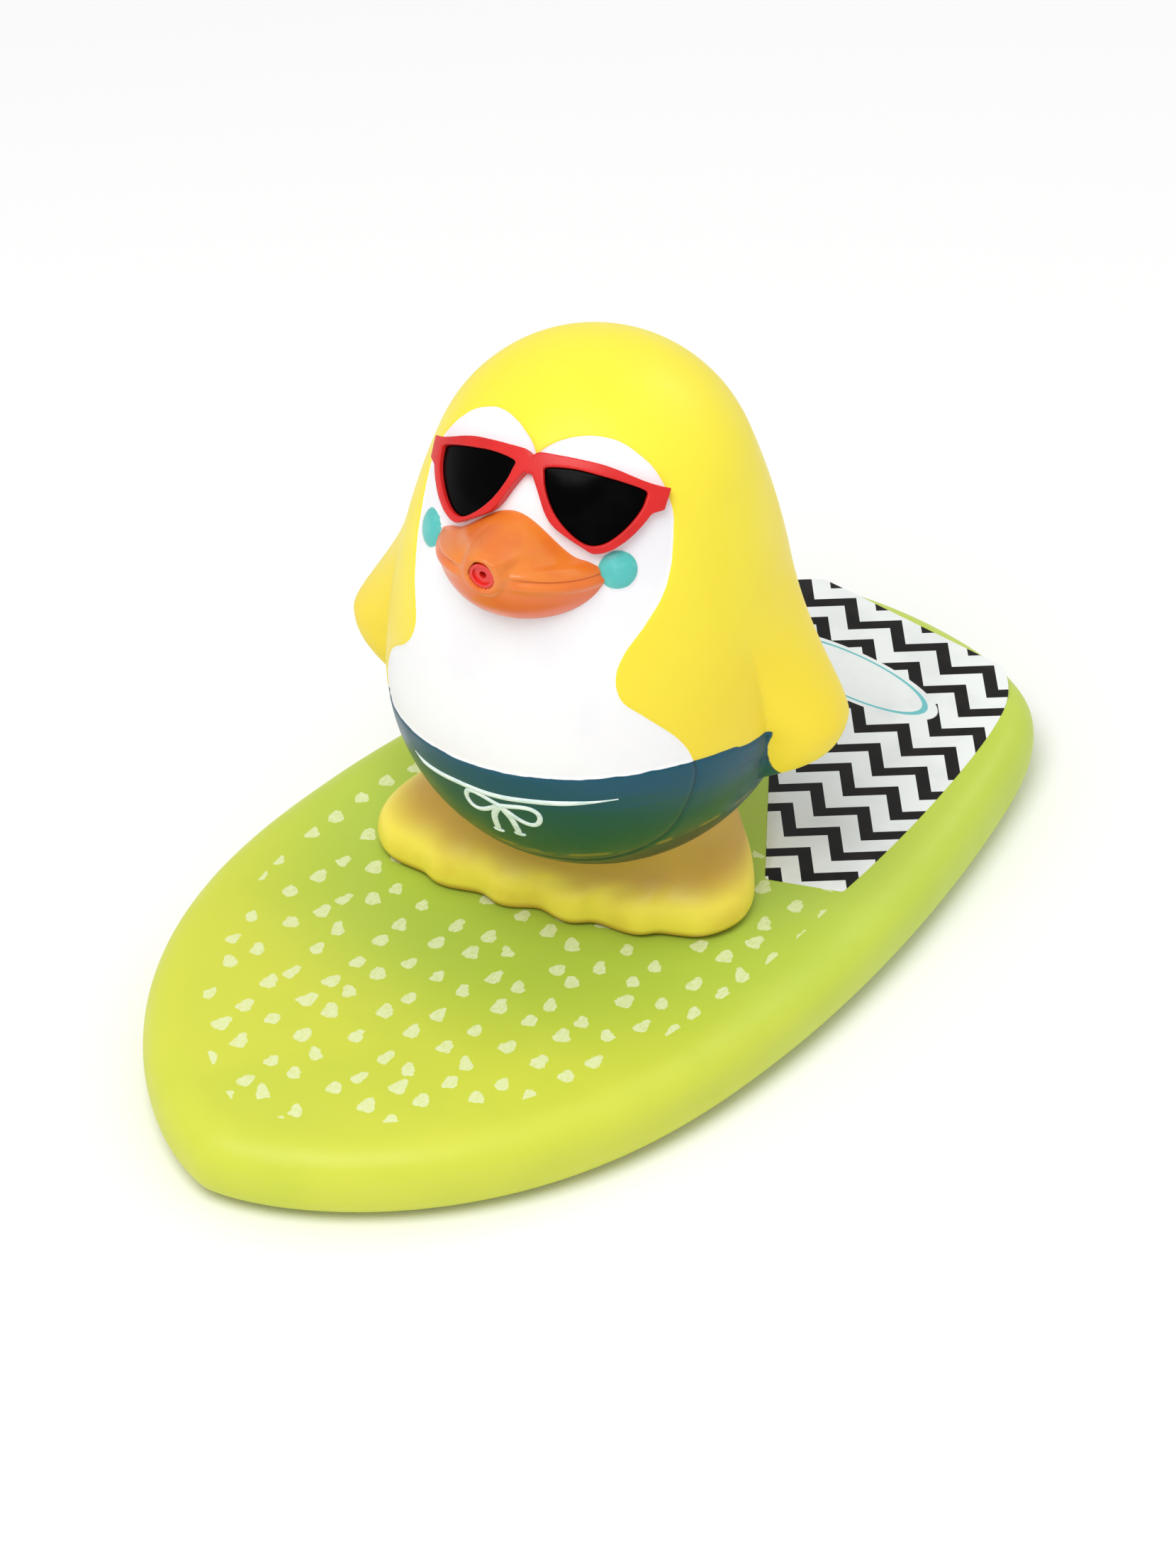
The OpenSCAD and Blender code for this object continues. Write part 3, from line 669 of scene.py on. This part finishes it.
def make_body():
    angle, z, slope = body_rings()
    flat_angle, flat_z = angle.ravel(), z.ravel()
    bare = in_figure(on_body(flat_angle, flat_z))
    paint = body_paint(flat_angle, flat_z, bare)
    in_bib = smooth_step(paint["bib"], -PAINT_SEAM, PAINT_SEAM)
    off_wing = smooth_step(-paint["wing"], -PAINT_SEAM, PAINT_SEAM)
    in_trunks = smooth_step(paint["waist"], -PAINT_SEAM, PAINT_SEAM) * off_wing
    bare_wing = 1 - smooth_step(paint["wing"], -PAINT_SEAM, PAINT_SEAM)
    dome = np.sqrt(np.clip(1 - (1 - np.clip(paint["cheek"], 0, CHEEK_R) / CHEEK_R) ** 2, 0, 1))
    relief = (-0.28 * in_bib * (1 - in_trunks)
              - 0.22 * bell(paint["bib"], 0.45) * in_trunks
              - 0.15 * bell(paint["waist"], 0.45) * (1 - in_bib) * bare_wing
              + 0.95 * dome * (paint["cheek"] > 0))
    relief = relief.reshape(z.shape)
    r = body_radius(z) + flipper(angle, z) + relief * cos(slope)
    rings = np.stack([r * sin(angle), -r * cos(angle), z + relief * sin(slope)], -1)
    rim = rings[0].copy()
    room_top = SPIGOT_TOP + 0.2
    rim[:, 2] = room_top
    rings = np.concatenate([[rim], rings])
    top = CROWN_Z + CROWN_R
    points, faces = loft(rings, [0, 0, room_top], [0, 0, top])
    columns = z.shape[1]
    attributes = {}
    for key, values in paint.items():
        attributes[key] = np.concatenate([values[:columns], values, values[:1], values[-1:]])
    add_piece("bird_body", in_figure(points), faces, "figure", body_material(),
              replaces=["body_shell"], attributes=attributes)


# ---- Drawstring ----

def ribbon(angles_and_heights, width, height, taper):
    """A flat cord along the body, its ends thinner by taper over their last share of the way."""
    line = np.asarray(angles_and_heights, float)
    centre = on_body(line[:, 0], line[:, 1], 0.02)
    along = np.gradient(centre, axis=0)
    along /= np.linalg.norm(along, axis=1)[:, None]
    normal = centre - [0, 0, BELLY_Z]
    normal /= np.linalg.norm(normal, axis=1)[:, None]
    across = np.cross(along, normal)
    share = np.linspace(0, 1, len(line))
    size = 1 - taper * (1 - smooth_step(np.minimum(share, 1 - share), 0, 0.16))
    turns = np.linspace(0, 2 * math.pi, 12, endpoint=False)
    rings = [c + s * (np.cos(turns)[:, None] * a * width / 2 + np.sin(turns)[:, None] * n * height / 2)
             for c, a, n, s in zip(centre, across, normal, size)]
    return loft(rings, centre[0], centre[-1])


def bow_loop(knot, middle, half_width):
    """A teardrop loop from the knot round the middle and back."""
    mm_per_degree = math.radians(1) * BELLY_R
    start = np.array([knot[0] * mm_per_degree, knot[1]])
    gap = np.array([middle[0] * mm_per_degree, middle[1]]) - start
    side = np.array([-gap[1], gap[0]]) / np.linalg.norm(gap)
    t = np.linspace(0, 2 * math.pi, 60)
    width = half_width * np.sin(t) * (0.55 - 0.45 * np.cos(t))
    flat = start + gap * (1 - np.cos(t))[:, None] * 0.92 + side * width[:, None] * 1.25
    return np.stack([flat[:, 0] / mm_per_degree, flat[:, 1]], -1)


def make_drawstring():
    knot = (-5, 31.3)
    # Degrees from the feet's middle and mm above the deck
    string = spline([(-38, 32.5), (-33, 32), (-25, 32.4), (-18, 32.9), (-6, 33.3), (5, 34.1),
                     (15, 34.7), (29, 35.7)], 12)
    left_tail = spline([knot, (-7.6, 28.3), (-8, 24.2)], 14)
    right_tail = spline([knot, (-1.9, 28.6), (-0.5, 24.9)], 14)
    cross = [spline([(a - 1.9, z), (a, z - 0.25), (a + 1.9, z)], 8) for a, z in ((-8, 24.4), (-0.5, 25.1))]
    cord = 0.5
    parts = [ribbon(string, 0.95, cord, 0.75)]
    for middle in ((-11.1, 30.7), (1.5, 30.6)):
        parts.append(ribbon(bow_loop(knot, middle, 2.3), 0.9, cord, 0.1))
    parts += [ribbon(tail, 1.15, cord, 0.3) for tail in (left_tail, right_tail)]
    parts += [ribbon(line, 0.75, cord * 0.9, 0.5) for line in cross]
    parts.append(ribbon(spline([(-6.3, 31.4), (-5, 31), (-3.7, 30.8)], 8), 1.3, cord * 1.3, 0.4))
    points, faces = joined(parts)
    s = Shader("white_cord_paint", specular=0.4)
    brushed = s.step(s.noise(0.5, 3, (4, 4, 1)), 0.35, 0.7)
    s.set("Base Color", s.mix(brushed, srgb(236, 245, 242), srgb(205, 228, 222)))
    s.moulded(0.38, 0.5, 0.3, 0.1)
    add_piece("drawstring", in_figure(points), faces, "figure", s.material)


# ---- Feet ----

FOOT_HALF_W = 31.5
FOOT_MIDDLE = np.array([-2.5, -6.0, 0])
FOOT_FRONT = 12.5
FOOT_BACK = 26.0
TOE_HEIGHT = 5.8
TOE_PITCH = 11.0
TOE_GROOVE = 0.8
ANKLE_FRONT = 15.5
ANKLE_BACK = 17.0
ANKLE_R = BELLY_R * 0.68
FOOT_LOW = foot_low_corner[2] - DECK
BORE_R = 6.05
BORE_TOP = 11.3


def oblong(angle, width, front, back, front_power, back_power):
    """Radius of a rounded oblong at an angle from the front."""
    ahead = np.abs(angle) < 90
    depth = np.where(ahead, front, back)
    power = np.where(ahead, front_power, back_power)
    return ((np.abs(sin(angle)) / width) ** power + (np.abs(cos(angle)) / depth) ** power) ** (-1 / power)


def foot_reach(angle, groove=TOE_GROOVE):
    r = oblong(angle, FOOT_HALF_W, FOOT_FRONT, FOOT_BACK, 2.6, 1.7)
    in_front = smooth_step(cos(angle), 0.05, 0.5)
    across = r * sin(angle) + FOOT_MIDDLE[0]
    return r + groove * in_front * cos(360 * (across + 8) / TOE_PITCH)


def belly_under(r):
    return BELLY_Z - np.sqrt(BELLY_R ** 2 - r ** 2)


def foot_rings():
    angle = np.linspace(-180, 180, 480, endpoint=False)

    def ring(r, z):
        return np.stack([r * sin(angle), -r * cos(angle), z + 0 * angle], -1)

    bore = ring(BORE_R, FOOT_LOW)
    under = ring(foot_reach(angle) * 0.9, FOOT_LOW) + FOOT_MIDDLE
    rings = [ring(BORE_R, BORE_TOP), bore]
    rings += [bore + (under - bore) * t for t in (0.25, 0.5, 0.75, 1)]
    # The rounded edge of the toes, up to their widest place
    middle_z = 2.3
    for a in np.linspace(-86, 0, 14):
        share = 0.9 + 0.1 * cos(a) ** 0.7
        z = middle_z + (middle_z - FOOT_LOW) * sin(a)
        rings.append(ring(foot_reach(angle) * share, z) + FOOT_MIDDLE)
    # Soft toes, then a hollow slope up to the belly, where the grooves fade out; its top is sunk
    # a little into the belly, so that no gap shows
    sunk = 0.8
    high_r = oblong(angle, ANKLE_R, ANKLE_FRONT, ANKLE_BACK, 2.4, 2.4)
    high = ring(high_r, 0)
    toe = bezier((0, middle_z), (0, TOE_HEIGHT - 1.2), (0.1, TOE_HEIGHT), (0.3, TOE_HEIGHT + 1))
    slope_top = TOE_HEIGHT + 8
    slope = bezier((0.3, TOE_HEIGHT + 1), (0.66, TOE_HEIGHT + 2.8), (0.94, TOE_HEIGHT + 4), (1, slope_top))
    for inward, z in np.vstack([toe[1:], slope[1:]]):
        groove = TOE_GROOVE * (1 + 1.2 * inward) * (1 - smooth_step(inward, 0.35, 0.85))
        flat = (ring(foot_reach(angle, groove), 0) + FOOT_MIDDLE) * (1 - inward) + high * inward
        share = (z - middle_z) / (slope_top - middle_z)
        flat[:, 2] = middle_z + (belly_under(high_r) + sunk - middle_z) * share
        rings.append(flat)
    rings += [ring(high_r * share, belly_under(high_r * share) + sunk) for share in (0.93, 0.86)]
    rings += [ring(MOUTH_R, belly_under(MOUTH_R) + 0.6), ring(MOUTH_R, SPIGOT_TOP)]
    return rings


def foot_material():
    s = Shader("foot_vinyl", specular=0.4, soft=0.06)
    _, _, z = s.split(s.place)
    # Painted shade: darker and browner higher up, under the belly, where the bright lobes lie in the light
    shade_under_belly = s.step(z, DECK + 5.5, DECK + 9.5)
    base = s.mix(shade_under_belly, srgb(250, 230, 82), srgb(212, 170, 70))
    # Painted shade: darker along the bottom edge, where the toes round under onto the deck
    base = s.mix(s.step(z, DECK + 2.2, DECK + 0.4), base, srgb(196, 150, 52))
    s.set("Base Color", s.vary(base, srgb(222, 182, 60), 0.35, 9))
    s.moulded(0.4, 0.52)
    return s.material


def make_feet():
    points, faces = loft(foot_rings(), [0, 0, BORE_TOP], [0, 0, SPIGOT_TOP])
    add_piece("bird_feet", in_figure(points), faces, "figure", foot_material(),
              replaces=["foot_base"])


# ---- Beak ----

BEAK_ROOT = 16.0
BEAK_REACH = 34.4
BEAK_Z = 2.4
BEAK_RISE = 3.2
BEAK_HALF_W = 15.2
BEAK_UP = 8.6
BEAK_LIP = 1.4
BEAK_DOWN = 9.9
NOZZLE_R = 2.1
LIP_R = 2.7             # crest of the soft lip round the nozzle
LIP_PROUD = 0.45
WELL_DEPTH = 4.0


def in_beak(points):
    """From the beak's frame, about the head's centre, to the board's frame."""
    x, y, z = np.moveaxis(np.asarray(points, float), -1, 0)
    tilted = np.stack([x * cos(TILT) - z * sin(TILT), y, CROWN_Z + x * sin(TILT) + z * cos(TILT)], -1)
    return in_figure(tilted, BEAK_TURN)


def beak_rings():
    """Rings from the root to the tip, with the mouth's line and the lip round the nozzle."""
    t = sin(np.linspace(0, 89.4, 110))[:, None]
    a = np.linspace(0, 360, 300, endpoint=False)[None, :]
    width = BEAK_HALF_W * np.sqrt(1 - t ** 2)
    up = BEAK_UP * (1 - t ** 2.2) ** 0.75
    down = BEAK_DOWN * (1 - t ** 4) ** 0.35
    lip = np.minimum(BEAK_LIP, up)
    rise = np.abs(sin(a))
    height = np.where(sin(a) > 0, lip * rise ** 0.8 + (up - lip) * rise ** 5, -down * rise ** 0.85)
    x = width * cos(a)
    y = -(BEAK_ROOT + (BEAK_REACH - BEAK_ROOT) * t) + 0 * a
    z = BEAK_Z + BEAK_RISE * t ** 2 + height
    grid = np.stack([x, y, z], -1)
    # Outward direction, from the neighbours along and round the rings
    along = np.gradient(grid, axis=0)
    round_ring = np.roll(grid, -1, 1) - np.roll(grid, 1, 1)
    normal = np.cross(along, round_ring)
    normal /= np.maximum(np.linalg.norm(normal, axis=-1), 1e-9)[..., None]
    outward = (normal * (grid - [0, -BEAK_ROOT, BEAK_Z])).sum(-1) < 0
    normal[outward] *= -1
    # The mouth's groove between two soft lips
    from_mouth = np.abs(height)
    tip_gap = np.hypot(x, z - BEAK_Z - BEAK_RISE)
    away_from_nozzle = smooth_step(tip_gap, 3.2, 7)
    mouth = (-0.55 * bell(from_mouth, 0.42) + 0.34 * bell(from_mouth - 1.25, 0.6)) * away_from_nozzle
    # A ridge in the upper bill just over the nozzle, running out to both sides
    ridge_at = 2.9 + 0.1 * np.abs(x)
    near_tip = smooth_step(t + 0 * a, 0.55, 0.85)
    ridge = 0.45 * bell(height - ridge_at, 0.9) * bell(x, 8) * (height > 0) * near_tip
    grid = grid + normal * (mouth + ridge)[..., None]
    # A raised lip round the nozzle, level with its mouth, and the well that the nozzle stands in
    crest = -(BEAK_REACH + LIP_PROUD - 0.6 * (tip_gap - LIP_R) ** 2)
    collar = smooth_step(-tip_gap, -LIP_R - 2.1, -LIP_R - 0.4)
    grid[..., 1] += np.minimum(0, crest - grid[..., 1]) * collar
    grid[..., 1] += WELL_DEPTH * smooth_step(-tip_gap, -NOZZLE_R - 0.1, -NOZZLE_R + 0.25)
    return grid


def beak_material():
    s = Shader("orange_paint", specular=0.5, coat=0.25, coat_roughness=0.22, soft=0.04)
    _, _, z = s.split(s.place)
    upper = s.step(z, DECK + CROWN_Z - 1, DECK + CROWN_Z + 7)
    base = s.mix(upper, srgb(230, 98, 34), srgb(233, 132, 42))
    s.set("Base Color", s.vary(base, srgb(214, 84, 36), 0.4, 7))
    s.moulded(0.28, 0.42, 0.5, 0.08)
    return s.material


def make_beak():
    grid = beak_rings()
    tip = grid[-1].mean(0)
    points, faces = loft(grid, [0, -BEAK_ROOT, BEAK_Z], tip)
    add_piece("bill", in_beak(points), faces, "figure", beak_material(), replaces=["beak"])


# ---- Sunglasses ----

# Right halves seen from the front, about the head's centre
FRAME_TOP = [(0, 18), (1.6, 18.5), (6.9, 18.1), (12, 16.7), (18.8, 13)]
FRAME_END = [(18.8, 13), (18.7, 10.6), (17.4, 10.6)]
FRAME_UNDER = [(17.4, 10.6), (16.4, 9.1), (14.9, 7.5), (13.1, 6.4), (11.1, 6.1), (9.4, 7.1), (6.9, 8.7),
               (5, 10), (3.6, 11.6), (2.2, 13.9), (0.7, 15.9), (0, 15.9)]
LENS = [(2.6, 17), (6.9, 17), (12.1, 15.6), (16, 13.7), (16.4, 12.5), (16, 11), (14.7, 9.2),
        (12.9, 7.7), (11.3, 7.2), (9.6, 7.6), (7.3, 9.3), (5, 11.6), (3.3, 14.1), (2.5, 16)]


def plate(outlines, thickness, voxel=0.15):
    """A rounded plate filled between the outlines, as mesh points (x, z, depth) and faces."""
    curve = bpy.data.curves.new("outline", "CURVE")
    curve.dimensions = "2D"
    curve.fill_mode = "BOTH"
    curve.extrude = thickness / 2
    for outline in outlines:
        run = curve.splines.new("POLY")
        run.points.add(len(outline) - 1)       # a new run has one point already
        count = len(outline)
        run.points.foreach_set("co", np.column_stack([outline, np.zeros(count), np.ones(count)]).ravel())
        run.use_cyclic_u = True
    source = bpy.data.objects.new("outline", curve)
    bpy.context.scene.collection.objects.link(source)
    solid = bpy.data.objects.new("solid", bpy.data.meshes.new_from_object(source))
    bpy.context.scene.collection.objects.link(solid)
    remesh = solid.modifiers.new("remesh", "REMESH")
    remesh.mode = "VOXEL"
    remesh.voxel_size = voxel
    smooth = solid.modifiers.new("smooth", "SMOOTH")
    smooth.factor = 0.5
    smooth.iterations = 4
    depsgraph = bpy.context.evaluated_depsgraph_get()
    mesh = bpy.data.meshes.new_from_object(solid.evaluated_get(depsgraph))
    points = np.zeros(len(mesh.vertices) * 3)
    mesh.vertices.foreach_get("co", points)
    faces = [list(face.vertices) for face in mesh.polygons]
    for unused in (source, solid):
        bpy.data.objects.remove(unused)
    return points.reshape(-1, 3), faces


def on_face(points, lift):
    """Wraps plate points on the face: x and z as seen from the front, depth along the outward direction."""
    x = points[:, 0] * cos(TILT) - points[:, 1] * sin(TILT)
    z = CROWN_Z + points[:, 0] * sin(TILT) + points[:, 1] * cos(TILT)
    off = points[:, 2] + lift
    y = -np.sqrt(np.maximum(0.01, body_radius(z) ** 2 - x ** 2))
    slope = (body_radius(z + 0.2) - body_radius(z - 0.2)) / 0.4
    normal = np.stack([x, y, -slope * body_radius(z)], -1)
    normal /= np.linalg.norm(normal, axis=1)[:, None]
    return in_figure(np.stack([x, y, z], -1) + normal * off[:, None], GLASSES_TURN)


def mirror(run):
    return np.asarray(run)[::-1] * [-1, 1]


def make_sunglasses():
    half = np.vstack([spline(FRAME_TOP, 8)[:-1], FRAME_END[:-1], spline(FRAME_UNDER, 8)])
    outer = np.vstack([half[:-1], mirror(half)[:-1]])
    lens = spline(LENS, 8, closed=True)
    s = Shader("red_frame", specular=0.3, coat=0.1, coat_roughness=0.2)
    s.set("Base Color", s.vary(srgb(216, 36, 34), srgb(196, 26, 28), 0.5, 5))
    s.moulded(0.32, 0.46, 0.5, 0.08)
    frame_t = 2.2
    frame_out = 1.5
    points, faces = plate([outer, lens, mirror(lens)], frame_t)
    points = on_face(points, frame_out - frame_t / 2)
    add_piece("sunglasses", points, faces, "figure", s.material, replaces=["sunglasses_frame"])
    s = Shader("black_lens", specular=0.04)
    s.set("Base Color", s.vary(srgb(1, 1, 1), srgb(9, 9, 11), 0.5, 6))
    s.moulded(0.12, 0.24, 0.8, 0.05)
    lens_t = 1.4
    lens_out = 0.75
    swell = 0.25
    swell_r = 7.0
    sides = (("lens_on_left", "lens_left", lens), ("lens_on_right", "lens_right", mirror(lens)))
    for name, node, outline in sides:
        middle = outline.mean(0)
        wide = middle + (outline - middle) * 1.02
        points, faces = plate([wide], lens_t)
        from_middle = np.linalg.norm(points[:, :2] - middle, axis=1)
        points[:, 2] += swell * np.clip(1 - (from_middle / swell_r) ** 2, 0, 1)
        points = on_face(points, lens_out - lens_t / 2)
        add_piece(name, points, faces, "figure", s.material, replaces=[node])


# ---- Frame nodes that keep their CAD shape ----

def finish_node(name, material):
    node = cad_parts[name]
    if not node.material_slots:
        node.data.materials.append(material)
    for slot in node.material_slots:
        slot.material = material


def finish_nodes():
    s = Shader("white_hard_plastic", specular=0.5)
    s.set("Base Color", s.vary(srgb(232, 231, 226), srgb(205, 203, 196), 0.6, 5))
    s.moulded(0.34, 0.5, 0.4, 0.1)
    for name in ("swivel_peg", "board_socket"):
        finish_node(name, s.material)
    s = Shader("lime_plug", specular=0.4)
    s.set("Base Color", s.vary(srgb(196, 216, 62), srgb(170, 196, 50), 0.6, 4))
    s.moulded(0.42, 0.55, 0.4, 0.12)
    finish_node("board_plug", s.material)
    s = Shader("red_nozzle", specular=0.5, coat=0.3, coat_roughness=0.15)
    s.set("Base Color", s.vary(srgb(232, 44, 36), srgb(206, 32, 30), 0.4, 1.5))
    s.moulded(0.25, 0.4, 0.3, 0.08)
    finish_node("squirt_nozzle", s.material)


# ---- Stage: floor, light and camera ----

def make_stage():
    mesh = bpy.data.meshes.new("floor")
    half = 6.0      # metres
    corners = [(-half, -half, 0), (half, -half, 0), (half, half, 0), (-half, half, 0)]
    mesh.from_pydata(corners, [], [(0, 1, 2, 3)])
    floor = bpy.data.objects.new("floor", mesh)
    bpy.context.scene.collection.objects.link(floor)
    s = Shader("pale_floor", roughness=0.8, specular=0.2)
    s.set("Base Color", srgb(250, 250, 250))
    mesh.materials.append(s.material)


def add_area(name, azimuth, elevation, distance, size, power, colour=(1, 1, 1)):
    """A soft light that looks at the toy; azimuth 0 is in front of the nose, positive towards +X.

    Distance and size are in metres, power in watts.
    """
    light = bpy.data.lights.new(name, "AREA")
    light.shape = "DISK"
    light.size = size
    light.energy = power
    light.color = colour
    lamp = bpy.data.objects.new(name, light)
    aim = Vector((0, 0, 0.045))
    away = Vector((sin(azimuth) * cos(elevation), -cos(azimuth) * cos(elevation), sin(elevation)))
    lamp.location = aim + away * distance
    lamp.rotation_euler = away.to_track_quat("Z", "Y").to_euler()
    bpy.context.scene.collection.objects.link(lamp)


def make_light():
    world = bpy.data.worlds.new("studio")
    bpy.context.scene.world = world
    world.use_nodes = True
    background = world.node_tree.nodes["Background"]
    background.inputs["Color"].default_value = (1, 1, 1, 1)
    background.inputs["Strength"].default_value = 0.62
    add_area("key", 12, 62, 0.9, 0.6, 4.8)
    add_area("rim", 170, 40, 1.0, 0.5, 1.2)
    bpy.context.scene.view_settings.view_transform = "Standard"


def make_camera():
    azimuth = 40.5
    elevation = 37.5
    distance = 1139.0
    right = np.array([cos(azimuth), sin(azimuth), 0])
    back = np.array([sin(azimuth) * cos(elevation), -cos(azimuth) * cos(elevation), sin(elevation)])
    up = np.cross(back, right)
    aim = np.array([0, AXIS_Y + 4.3, DECK / 2]) - 3.8 * right + 14.2 * up
    camera = bpy.data.cameras.new("camera")
    camera.sensor_width = 36
    camera.lens = 162.75
    camera.clip_end = 50
    taker = bpy.data.objects.new("camera", camera)
    taker.location = Vector((aim + distance * back) * MM)
    taker.rotation_euler = Vector(back).to_track_quat("Z", "Y").to_euler()
    bpy.context.scene.collection.objects.link(taker)
    bpy.context.scene.camera = taker


make_camera()
make_light()
make_stage()
make_board()
make_pad()
make_body()
make_drawstring()
make_feet()
make_beak()
make_sunglasses()
finish_nodes()
